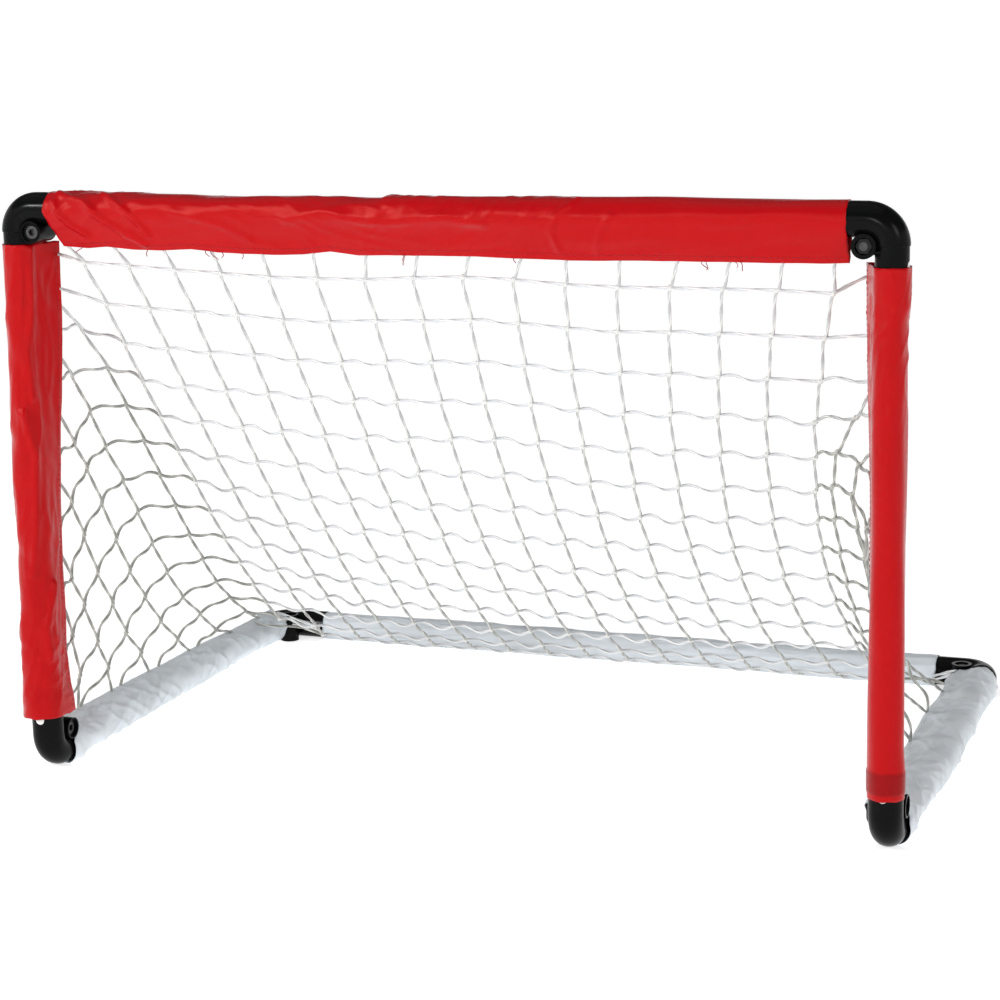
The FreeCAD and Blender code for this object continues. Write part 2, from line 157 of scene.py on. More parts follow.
def clothMaterial(name, cloth):
    # Plain weave on the sleeve's own UV map, which is in metres of cloth
    made, graph = newMaterial(name, cloth["colour"])
    place = graph.node("ShaderNodeUVMap", {"uv_map": "cloth"})
    parts = graph.node("ShaderNodeSeparateXYZ", None, {0: place})
    around, along = parts, parts.out("Y")
    where = graph.objectPlace()
    turn = 2 * math.pi / clothWeave["threadPitch"]
    warp, weft = (around * turn).sine(), (along * turn).sine()
    weave = warp * weft
    stretched = graph.node("ShaderNodeMapping", None, {"Vector": place, "Scale": clothWeave["slubStretch"]})
    slub = graph.noise(stretched, 1.0)
    cloud = graph.noise(where, clothWeave["cloudScale"])
    fine = graph.noise(where, clothWeave["fineScale"])
    tone = cloud * 0.7 + fine * 0.3
    doubled = graph.attribute("doubledCloth")
    colour = graph.mix(tone, cloth["shade"], cloth["colour"])
    colour = graph.mix(doubled * clothWeave["doubledShare"], colour, cloth["deep"])
    relief = weave * 0.35 + slub * clothWeave["slub"] + fine * 0.8
    finishMaterial(graph, {
        "Base Color": colour,
        "Roughness": cloth["roughness"] + (cloud - 0.5) * clothWeave["unevenGloss"] + weave * 0.03,
        "Normal": graph.bump(relief, clothWeave["bump"], clothWeave["bumpDepth"]),
        "Sheen Weight": cloth["sheen"],
        "Sheen Roughness": 0.4,
        "Specular IOR Level": cloth["specular"],
        "Specular Tint": cloth["tint"],
    })
    return made


mouldedSkin = {"flowScale": 45.0, "grainScale": 1400.0, "rubScale": 130.0, "bump": 0.08, "bumpDepth": 0.0004}


def plasticMaterial(name, plastic):
    # Moulded plastic: faint flow marks, fine grain and rubbed patches
    made, graph = newMaterial(name, plastic["colour"])
    where = graph.objectPlace()
    flow = graph.noise(where, mouldedSkin["flowScale"])
    grain = graph.noise(where, mouldedSkin["grainScale"], 2.0)
    rub = graph.noise(where, mouldedSkin["rubScale"], 4.0, 0.65)
    mark = graph.node("ShaderNodeValToRGB", {"stops": [(0.55, (0, 0, 0, 1)), (0.75, (1, 1, 1, 1))]}, {0: rub})
    mark = graph.node("ShaderNodeRGBToBW", None, {0: mark})
    colour = graph.mix(mark * 0.35 + flow * 0.25, plastic["colour"], plastic["rubbed"])
    finishMaterial(graph, {
        "Base Color": colour,
        "Roughness": plastic["roughness"] + mark * 0.12 + (flow - 0.5) * 0.1,
        "Normal": graph.bump(grain * 0.6 + flow * 0.8, mouldedSkin["bump"], mouldedSkin["bumpDepth"]),
        "Specular IOR Level": plastic["specular"],
    })
    return made


def steelMaterial(name, dark, bright):
    made, graph = newMaterial(name, bright)
    where = graph.objectPlace()
    spots = graph.noise(where, 420.0, 4.0, 0.6)
    stretched = graph.node("ShaderNodeMapping", None, {"Vector": where, "Scale": (2500, 200, 2500)})
    brushed = graph.noise(stretched, 1.0)
    finishMaterial(graph, {
        "Base Color": graph.mix(spots, dark, bright),
        "Roughness": 0.3 + spots * 0.25,
        "Metallic": 0.9,
        "Normal": graph.bump(brushed, 0.2, 0.0002),
    })
    return made


twine = {
    "braidPitch": 0.0022, "dirtScale": 60.0, "fuzzScale": 2600.0,
    "bump": 0.7, "bumpDepth": 0.0004, "sheen": 0.25,
    # dark and pale parts of a lit cord, and of one in painted shade lower down
    "litDark": (0.54, 0.57, 0.61, 1), "shadedDark": (0.10, 0.105, 0.09, 1),
    "litPale": (0.93, 0.93, 0.90, 1), "shadedPale": (0.56, 0.56, 0.50, 1),
}


def cordMaterial():
    # Braided twine: the strands' slant comes from lengths stored along and round the cord
    made, graph = newMaterial("netTwine", (0.78, 0.77, 0.74, 1))
    along = graph.attribute("cordAlong")
    around = graph.attribute("cordAround")
    where = graph.objectPlace()
    turn = 2 * math.pi
    oneWay = (along * (turn / twine["braidPitch"]) + around * turn).sine()
    otherWay = (along * (turn / twine["braidPitch"]) - around * turn).sine()
    braid = oneWay * otherWay
    strands = (around * (2 * turn) + turn / 4).sine()    # 1 on the two strands, -1 in the furrow between them
    # the dark colour goes into the furrow between the strands and the braid's low crossings: painted shade in
    # the recesses
    groove = braid * 0.22 + strands * 0.28 + 0.5
    dirt = graph.noise(where, twine["dirtScale"], 4.0)
    fuzz = graph.noise(where, twine["fuzzScale"], 2.0)
    # cordTone darkens the cord towards its shaded colours: painted shade, more of it lower down the net
    tone = graph.attribute("cordTone")
    dark = graph.mix(tone, twine["litDark"], twine["shadedDark"])
    pale = graph.mix(tone, twine["litPale"], twine["shadedPale"])
    colour = graph.mix(groove * 0.85 + dirt * 0.15, dark, pale)
    finishMaterial(graph, {
        "Base Color": colour,
        "Roughness": 0.68 + dirt * 0.2,
        "Normal": graph.bump(groove + fuzz * 0.4, twine["bump"], twine["bumpDepth"]),
        "Sheen Weight": twine["sheen"],
        "Sheen Roughness": 0.5,
    })
    return made


redCloth = clothMaterial("redSleeveCloth", {
    "colour": (0.47, 0.002, 0.006, 1), "shade": (0.39, 0.002, 0.005, 1), "deep": (0.23, 0.002, 0.005, 1),
    "roughness": 0.25, "specular": 0.34, "tint": (1, 0.30, 0.24, 1), "sheen": 0.0})
whiteCloth = clothMaterial("whiteSleeveCloth", {
    "colour": (0.74, 0.79, 0.83, 1), "shade": (0.63, 0.68, 0.72, 1), "deep": (0.58, 0.63, 0.67, 1),
    "roughness": 0.32, "specular": 0.20, "tint": (1, 1, 1, 1), "sheen": 0.1})
blackPlastic = plasticMaterial("blackMoulding", {
    "colour": (0.0022, 0.0024, 0.0026, 1), "rubbed": (0.009, 0.009, 0.010, 1),
    "roughness": 0.19, "specular": 0.07})
whitePvc = plasticMaterial("whiteTube", {
    "colour": (0.78, 0.78, 0.76, 1), "rubbed": (0.62, 0.62, 0.60, 1), "roughness": 0.35, "specular": 0.4})
whitePlug = plasticMaterial("whitePlug", {
    "colour": (0.84, 0.84, 0.82, 1), "rubbed": (0.66, 0.66, 0.63, 1), "roughness": 0.4, "specular": 0.4})
greySteel = steelMaterial("greySteel", (0.03, 0.029, 0.03, 1), (0.11, 0.105, 0.11, 1))
# The nuts' steel is near-black: painted shade for the dark bores they sit in
paintedShadeSteel = steelMaterial("paintedShadeSteel", (0.008, 0.008, 0.008, 1), (0.03, 0.03, 0.031, 1))
netTwine = cordMaterial()
print("materials made")

finishes = (("_elbow", blackPlastic), ("_collar", blackPlastic), ("_tube", whitePvc), ("_plugs", whitePlug),
            ("_bolts", greySteel), ("_nuts", paintedShadeSteel))
for name, node in nodes.items():
    for ending, finish in finishes:
        if name.endswith(ending):
            node.data.materials.clear()
            node.data.materials.append(finish)


# Small tools

def newObject(name, data):
    made = bpy.data.objects.new(name, data)
    bpy.context.scene.collection.objects.link(made)
    return made


def meshPiece(name, points, faces, finish):
    mesh = bpy.data.meshes.new(name)
    mesh.from_pydata([tuple(p) for p in points], [], [tuple(f) for f in faces])
    mesh.materials.append(finish)
    made = newObject(name, mesh)
    mesh.polygons.foreach_set("use_smooth", [True] * len(mesh.polygons))
    mesh.update()
    return made


def ripple(x, y, seed):
    # Smooth noise from -1 to 1 on a grid of random slopes
    cells = 64    # the pattern repeats after so many
    rng = np.random.default_rng(seed)
    angles = rng.uniform(0, 2 * math.pi, (cells, cells))
    gx, gy = np.cos(angles), np.sin(angles)
    xi, yi = np.floor(x).astype(int), np.floor(y).astype(int)
    fx, fy = x - xi, y - yi
    sx, sy = (f * f * f * (f * (f * 6 - 15) + 10) for f in (fx, fy))

    def corner(i, j):
        a, b = (xi + i) % cells, (yi + j) % cells
        return gx[a, b] * (fx - i) + gy[a, b] * (fy - j)

    low = corner(0, 0) * (1 - sx) + corner(1, 0) * sx
    high = corner(0, 1) * (1 - sx) + corner(1, 1) * sx
    return (low * (1 - sy) + high * sy) * 1.5


def smooth(value, low, high):
    t = np.clip((value - low) / (high - low), 0, 1)
    return t * t * (3 - 2 * t)


# Cloth sleeves
# A sleeve is a loop of cloth round its tube, drawn out to a doubled hem where the net is sewn in.
# Folds are ridges of noise, stretched along their own direction and kept to a stretch of the sleeve.

hems, seams = {}, {}    # lines that the net and the stitches follow
sleeveMake = {
    "ring": 0.0018, "hemSteps": 4, "flatSteps": 14, "arcSteps": 40,
    "hemEdge": 0.0011, "seamInset": 0.0006, "clothThickness": 0.0004,
    "stiffHem": 0.008, "hemShare": 0.15,                   # folds flatten towards the hem, to this share
    "foldBlur": 0.03, "deepest": 0.0016,
    "mouldingEnd": (0.018, 0.028), "sinkOnMoulding": 0.0002,    # near its ends the cloth lies on a moulding
    "doubledRise": 0.0006, "doubledEdge": 0.0006, "stitchRise": 0.0001,
    "floorPlay": 0.0002, "floorRipple": 0.02,
    "fray": 0.0007, "frayLength": 0.006, "endReach": 0.05,
}


def direction(angle):
    return np.array([math.cos(angle), math.sin(angle)])


def keyed(share, keys):
    keys = np.array(keys)
    return [np.interp(share, keys[:, 0], keys[:, k]) for k in range(1, keys.shape[1])]


def hemLine(sleeve, share, long):
    # The hem's tip across and up from the tube's axis, with its waves
    tip = np.stack(keyed(share, sleeve["hem"]), 1)
    wave = sleeve["hemWave"]
    run, seed = share * long / wave["length"], wave["seed"]
    small = 0.35 * ripple(run * 3.1, run * 0 + 9.5, seed)
    drop = wave["height"] * (ripple(run + 3.3, run * 0 + 0.5, seed) + small)
    sway = wave["sway"] * ripple(run * 0.8, run * 0 + 4.5, seed + 1)
    away = tip / np.hypot(tip[:, :1], tip[:, 1:])
    beside = np.stack([-away[:, 1], away[:, 0]], 1)
    return tip + away * drop[:, None] + beside * sway[:, None]


def sleeveSection(tip, radius):
    # Points and their outward ways: the hem's round edge, flat cloth, round the tube, and back to the hem
    edge = sleeveMake["hemEdge"]
    reach = math.hypot(*tip)
    lean = math.atan2(tip[1], tip[0])
    wrap = math.acos((radius - edge) / reach)
    tip = tip * (1 - edge / reach)
    tube = np.zeros(2)
    near, far = lean + wrap, lean - wrap
    stretches = (    # steps, then centre, radius and angle at both ends
        (sleeveMake["hemSteps"], tip, tip, edge, edge, lean, near),
        (sleeveMake["flatSteps"], tip, tube, edge, radius, near, near),
        (sleeveMake["arcSteps"], tube, tube, radius, radius, near, far + 2 * math.pi),
        (sleeveMake["flatSteps"], tube, tip, radius, edge, far, far),
        (sleeveMake["hemSteps"], tip, tip, edge, edge, far, lean))
    section, outward = [], []
    for steps, centre, centreEnd, r, rEnd, angle, angleEnd in stretches:
        for t in np.arange(steps) / steps:
            way = direction(angle + (angleEnd - angle) * t)
            section.append(centre + (centreEnd - centre) * t + (r + (rEnd - r) * t) * way)
            outward.append(way)
    return np.array(section), np.array(outward)


def foldLift(fold, along, around):
    angle, seed = math.radians(fold["angle"]), fold["seed"]
    p = along * math.cos(angle) + around * math.sin(angle)
    q = -along * math.sin(angle) + around * math.cos(angle)
    bend = 0.35 * ripple(p / fold["length"] * 1.7 + 5.1, q / fold["width"] * 0.3 + 2.2, seed + 7)
    value = ripple(p / fold["length"] + 11.3, q / fold["width"] + bend + 7.7, seed)
    if fold["ridged"]:
        value = (1 - np.abs(value) * 2.2).clip(0, 1) ** fold["ridged"] - 0.25
    (low, high), blur = fold["range"], sleeveMake["foldBlur"]
    window = smooth(along, low - blur, low + blur) * (1 - smooth(along, high - blur, high + blur))
    return fold["height"] * value * window


def creaseLift(crease, along, fromHem):
    # A single fold along a line given by points of (along, from the hem on the near side)
    line = np.array(crease["line"])
    best = np.full(along.shape, 9.0)
    for (a0, s0), (a1, s1) in zip(line[:-1], line[1:]):
        da, ds = a1 - a0, s1 - s0
        t = np.clip(((along - a0) * da + (fromHem - s0) * ds) / (da * da + ds * ds), 0, 1)
        best = np.minimum(best, np.hypot(along - a0 - da * t, fromHem - s0 - ds * t))
    return crease["height"] * np.exp(-(best / crease["width"]) ** 2)


def sleeveFaces(rings, count, flip):
    faces = []
    for n in range(rings):
        for k in range(count):
            a, b = n * count + k, n * count + (k + 1) % count
            c, d = b + count, a + count
            faces.append((a, b, c, d) if flip else (a, d, c, b))
    return faces


def laySleeveUv(made, around, along, total):
    # Metres of cloth, with the last face of each ring closed at the loop's full width
    count = around.shape[1]
    uv = np.zeros((len(made.data.loops), 2))
    corners = np.array([corner.vertex_index for corner in made.data.loops])
    uv[:, 0] = around.reshape(-1)[corners]
    uv[:, 1] = along.reshape(-1)[corners]
    polygon = np.arange(len(corners)) // 4
    closing = (corners % count == 0) & (polygon % count == count - 1)
    uv[closing, 0] = total[0, 0]
    made.data.uv_layers.new(name="cloth").data.foreach_set("uv", uv.reshape(-1))


def straightCut(across, up):
    return 0 * up


def sleevePiece(name, sleeve, finish):
    start, end = np.array(sleeve["start"]), np.array(sleeve["end"])
    across, up = np.array(sleeve["across"], float), np.array(sleeve["up"], float)
    long = np.linalg.norm(end - start)
    way = (end - start) / long
    rings = int(long / sleeveMake["ring"])
    share = np.linspace(0, 1, rings + 1)
    tips = hemLine(sleeve, share, long)
    sections = [sleeveSection(tip, sleeve["radius"]) for tip in tips]
    points, outward = (np.array([section[k] for section in sections]) for k in (0, 1))
    steps = np.linalg.norm(np.diff(points, axis=1, append=points[:, :1]), axis=2)
    total = steps.sum(axis=1, keepdims=True)
    around = np.cumsum(steps, axis=1) - steps
    count = points.shape[1]
    along = (share * long)[:, None] + 0 * around

    lift = sum(foldLift(fold, along, around) for fold in sleeve["folds"])
    lift = lift + sum(creaseLift(crease, along, total - around) for crease in sleeve.get("creases", ()))
    fromHem = np.minimum(around, total - around)
    least = sleeveMake["hemShare"]
    lift *= smooth(fromHem, 0.0, sleeveMake["stiffHem"]) * (1 - least) + least
    fromEnd = np.minimum(along, long - along)
    deepest = (sleeveMake["sinkOnMoulding"], sleeve.get("deepest", sleeveMake["deepest"]))
    lift = np.maximum(lift, -np.interp(fromEnd, sleeveMake["mouldingEnd"], deepest))
    for angle, keys in sleeve.get("bulges", ()):
        # A part that stands out or lies in, towards one way of the section or all round
        facing = 1 if angle is None else outward @ direction(math.radians(angle))
        lift += keyed(along / long, keys)[0] * np.clip(facing, 0, 1) ** 2
    doubled, blur = np.zeros_like(along), sleeveMake["doubledEdge"]
    for low, high in sleeve.get("doubled", ()):
        doubled += smooth(along, low - blur, low + blur) * (1 - smooth(along, high - blur, high + blur))
    lift += doubled * sleeveMake["doubledRise"]
    points = points + outward * lift[:, :, None]
    if "floor" in sleeve:
        ground = sleeveMake["floorRipple"]
        play = sleeveMake["floorPlay"] * (1 + ripple(along / ground, around / ground, 5))
        points[:, :, 1] = np.maximum(points[:, :, 1], sleeve["floor"] + play)

    # The ends are cut on a curve and fray a little
    thread = around / sleeveMake["frayLength"]
    fray = [sleeveMake["fray"] * ripple(thread, around * 0, seed) for seed in (21, 22)]
    cuts = [cut(points[:, :, 0], points[:, :, 1]) for cut in sleeve.get("ends", (straightCut, straightCut))]
    reach = sleeveMake["endReach"]
    nearStart, nearEnd = 1 - smooth(along, 0, reach), smooth(along, long - reach, long)
    place = along + nearStart * (cuts[0] + fray[0]) + nearEnd * (cuts[1] + fray[1])
    axes = np.array([across, up])
    world = start + place[:, :, None] * way + points @ axes

    # The net is sewn in just inside the hem's edge, and the stitches run beside it on both faces
    inside = 1 - (sleeveMake["hemEdge"] + sleeveMake["seamInset"]) / np.hypot(tips[:, :1], tips[:, 1:])
    hems[name] = start + along[:, :1] * way + tips * inside @ axes
    seam = sleeveMake["hemSteps"] + 2
    rise = sleeveMake["stitchRise"]
    seams[name] = [world[:, k] + outward[:, k] @ axes * rise for k in (seam, count - seam)]

    faces = sleeveFaces(rings, count, np.dot(np.cross(across, up), way) > 0)
    made = meshPiece(name, world.reshape(-1, 3), faces, finish)
    laySleeveUv(made, around, along, total)
    made.data.attributes.new("doubledCloth", "FLOAT", "POINT").data.foreach_set("value", doubled.reshape(-1))
    thick = made.modifiers.new("thickness", "SOLIDIFY")
    thick.thickness, thick.offset = sleeveMake["clothThickness"], -1
    size = (float(total.mean()), long)
    print("sleeve", name, "cut", round(size[0], 3), "x", round(size[1], 3), "faces", len(faces))
    return made, size


def folds(*rows):
    # The stretch that they keep to comes last, and is the whole sleeve where it is left out
    keys = ("angle", "length", "width", "height", "seed", "ridged", "range")
    return [{"range": (0, 0.6), **dict(zip(keys, row))} for row in rows]


def slantedCut(across, up):
    # Cut back a little at the top, and most at the hem
    return np.where(up > 0, 0.0025 * up / 0.0133, 0.0095 * np.abs(up / 0.030) ** 1.2) + 0.0003


crossbarSleeve = {
    "start": (-0.3135, postY, crossbarZ), "end": (0.3135, postY, crossbarZ),
    "across": (0, 1, 0), "up": (0, 0, 1), "radius": 0.0133,
    "hem": [(s, 0.002, -h / 1000) for s, h in (
        (0, 29.5), (0.04, 30.3), (0.075, 28.8), (0.11, 30.6), (0.15, 30.8), (0.19, 29.6), (0.225, 31.8),
        (0.26, 32.6), (0.30, 32.6), (0.34, 31.9), (0.375, 29.6), (0.41, 32.2), (0.45, 31.2), (0.5, 31.6),
        (0.56, 31.6), (0.64, 32.6), (0.675, 32.8), (0.72, 32.2), (0.8, 31.8), (0.97, 31.2), (1, 30.6))],
    "hemWave": {"length": 0.06, "height": 0.0005, "sway": 0.0008, "seed": 4},
    "bulges": [(90, [(0.11, 0), (0.19, -0.0012), (0.22, -0.0022), (0.32, -0.0022), (0.36, -0.0015),
                     (0.445, -0.0022), (0.452, -0.0002), (0.5, -0.0006), (0.6, -0.0004), (1, 0)])],
    "folds": folds((-26, 0.060, 0.013, 0.0009, 31, 2, (0.0, 0.10)),
                   (-6, 0.12, 0.012, 0.0008, 12, 0, (0.02, 0.62)),
                   (14, 0.05, 0.010, 0.0006, 17, 2, (0.15, 0.30)),
                   (-38, 0.04, 0.011, 0.0006, 18, 2, (0.27, 0.42)),
                   (8, 0.22, 0.030, 0.0009, 19, 0, (0.0, 0.7))),
    "creases": [{"line": line, "height": h, "width": w} for line, h, w in (
        ([(0.010, 0.048), (0.036, 0.040), (0.050, 0.028), (0.083, 0.006)], 0.0027, 0.0030),
        ([(0.008, 0.041), (0.020, 0.022), (0.032, 0.013)], 0.0021, 0.0026),
        ([(0.050, 0.048), (0.058, 0.044), (0.079, 0.030), (0.087, 0.014)], 0.0022, 0.0026),
        ([(0.112, 0.034), (0.150, 0.025), (0.172, 0.012)], 0.0012, 0.0030),
        ([(0.205, 0.031), (0.235, 0.035), (0.285, 0.030), (0.330, 0.034), (0.360, 0.030)], 0.0017, 0.0042),
        ([(0.262, 0.006), (0.268, 0.018), (0.284, 0.026)], 0.0008, 0.0024),
        ([(0.432, 0.052), (0.418, 0.038), (0.412, 0.024), (0.416, 0.008)], 0.0014, 0.0022),
        ([(0.458, 0.038), (0.448, 0.022), (0.444, 0.008)], 0.0012, 0.0022))],
    "ends": (slantedCut, lambda across, up: -0.0005 + 0 * up),
}
leftPostSleeve = {
    "start": (-halfWidth, postY, 0.0460), "end": (-halfWidth, postY, 0.4283),
    "across": (1, 0, 0), "up": (0, 1, 0), "radius": 0.0133, "deepest": 0.0020,
    "hem": [(s, a / 1000, b / 1000) for s, a, b in (
        (0, 13.5, 18.5), (0.08, 11.7, 18.5), (0.13, 9.6, 18.8), (0.24, 10.8, 19.4), (0.35, 10.9, 20.1),
        (0.45, 11.6, 20.7), (0.56, 13.3, 21.4), (0.61, 14.7, 21.7), (0.67, 17, 22), (0.8, 20.2, 22.8),
        (1, 21.2, 24))],
    "hemWave": {"length": 0.06, "height": 0.0005, "sway": 0.0006, "seed": 8},
    "bulges": [(211, [(0, 0.0045), (0.24, 0.0031), (0.5, 0.0016), (1, 0)]),
               (None, [(0, 0.0014), (0.03, 0.0014), (0.06, 0)])],
    "folds": folds((8, 0.10, 0.012, 0.0010, 41, 2), (-30, 0.05, 0.014, 0.0010, 42, 0),
                   (75, 0.03, 0.014, 0.0008, 43, 2, (0, 0.10)), (4, 0.16, 0.022, 0.0012, 44, 0)),
    "creases": [{"line": line, "height": 0.0028, "width": 0.0034} for line in (
        [(0.378, 0.030), (0.340, 0.031), (0.300, 0.036), (0.262, 0.033)],
        [(0.250, 0.040), (0.215, 0.032), (0.170, 0.034), (0.120, 0.038)],
        [(0.11, 0.020), (0.075, 0.030), (0.05, 0.028)])],
}
rightPostSleeve = {
    "start": (halfWidth, postY, 0.0420), "end": (halfWidth, postY, 0.4235),
    "across": (-1, 0, 0), "up": (0, 1, 0), "radius": 0.0133, "deepest": 0.0020,
    "hem": [(0, 0.0128, 0.0180), (1, 0.0220, 0.0240)],
    "hemWave": {"length": 0.07, "height": 0.0007, "sway": 0.0008, "seed": 9},
    "doubled": [(0.004, 0.021)],
    "bulges": [(180, [(0, 0), (0.06, 0), (0.10, -0.0010), (0.40, -0.0010), (0.48, -0.0019), (0.90, -0.0019),
                      (0.93, 0)])],
    "folds": folds((6, 0.12, 0.012, 0.0008, 51, 0),
                   (-20, 0.05, 0.012, 0.0008, 52, 2, (0.28, 0.5)), (4, 0.18, 0.022, 0.0009, 54, 0)),
}
sideFolds = folds((16, 0.080, 0.017, 0.0019, 61, 0), (-34, 0.060, 0.015, 0.0016, 62, 2),
                  (42, 0.060, 0.014, 0.0014, 63, 2), (5, 0.12, 0.022, 0.0012, 64, 0))
sideStart, sideEnd = pivotY + 0.001, rearY - bendRadius - 0.0095
leftSideSleeve = {
    "start": (-halfWidth, sideStart, baseZ), "end": (-halfWidth, sideEnd + 0.003, baseZ),
    "across": (1, 0, 0), "up": (0, 0, 1), "radius": 0.0127, "floor": -baseZ,
    "hem": [(0, -0.0090, 0.0170), (0.05, -0.0100, 0.0180), (0.12, -0.0114, 0.0192), (0.35, -0.0100, 0.0184),
            (0.6, -0.0075, 0.0170), (0.85, -0.0038, 0.0166), (1, -0.0010, 0.0163)],
    "hemWave": {"length": 0.06, "height": 0.0008, "sway": 0.0010, "seed": 14},
    "folds": sideFolds,
    "bulges": [(0, [(0.80, 0), (1, 0.0040)]),
               (None, [(0, 0.0026), (0.05, 0.0018), (0.09, 0), (0.92, 0), (0.95, 0.0014), (1, 0.0014)])],
    "ends": (lambda across, up: 0.0060 * smooth(up, 0.006, 0.011) - 0.002, straightCut),
}
rightSideSleeve = {
    "start": (halfWidth, sideStart, baseZ), "end": (halfWidth, sideEnd - 0.002, baseZ),
    "across": (-1, 0, 0), "up": (0, 0, 1), "radius": 0.0127, "floor": -baseZ,
    "hem": [(0, 0.0190, 0.0125), (0.1, 0.0235, 0.0075), (0.3, 0.0250, 0.0043), (1, 0.0250, 0.0043)],
    "hemWave": {"length": 0.06, "height": 0.0009, "sway": 0.0012, "seed": 15},
    "bulges": [(180, [(0, 0), (0.15, 0.002), (0.45, 0.0062), (0.75, 0.0055), (0.92, 0.002), (1, 0.0005)]),
               (None, [(0, 0.0016), (0.06, 0.0016), (0.10, 0), (0.92, 0), (0.95, 0.0014), (1, 0.0014)])],
    "folds": [{**fold, "seed": fold["seed"] + 10} for fold in sideFolds],
    "ends": (lambda across, up: 0.0085 * smooth(up, 0.004, 0.009), straightCut),
}
rearSleeve = {
    "start": (-0.2928, rearY, baseZ), "end": (0.3010, rearY, baseZ),
    "across": (0, -1, 0), "up": (0, 0, 1), "radius": 0.0125, "floor": -baseZ,
    "hem": [(0, 0.0150, -0.0098), (1, 0.0150, -0.0098)],
    "hemWave": {"length": 0.05, "height": 0.0008, "sway": 0.0006, "seed": 16},
    "bulges": [(angle, [(0.965, 0), (0.985, 0.0012), (1, 0.0012)]) for angle in (90, 180, 0)],
    "folds": folds((3, 0.10, 0.007, 0.0009, 81, 2), (-6, 0.05, 0.008, 0.0008, 82, 0),
                   (5, 0.2, 0.02, 0.0008, 84, 0)),
}
frontCloth = (redCloth, "front_frame", "red_cloth")
baseCloth = (whiteCloth, "base", "white_cloth")
sleeveTable = (
    ("crossbarCloth", crossbarSleeve, "crossbar_sleeve", "crossbar_tube", frontCloth),
    ("leftPostCloth", leftPostSleeve, "left_post_sleeve", "left_post_tube", frontCloth),
    ("rightPostCloth", rightPostSleeve, "right_post_sleeve", "right_post_tube", frontCloth),
    ("leftSideCloth", leftSideSleeve, "left_side_sleeve", "left_side_tube", baseCloth),
    ("rightSideCloth", rightSideSleeve, "right_side_sleeve", "right_side_tube", baseCloth),
    ("rearCloth", rearSleeve, "rear_sleeve", "rear_bar_tube", baseCloth),
)
for name, settings, node, tube, (finish, body, slotName) in sleeveTable:
    piece, cut = sleevePiece(name, settings, finish)
    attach(piece, body)
    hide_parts(node)


# Net
# The back's knots stand on a hanging curve. Those of the left side follow the photograph, and those of the
# right side hang under gravity from cords that can't stretch.

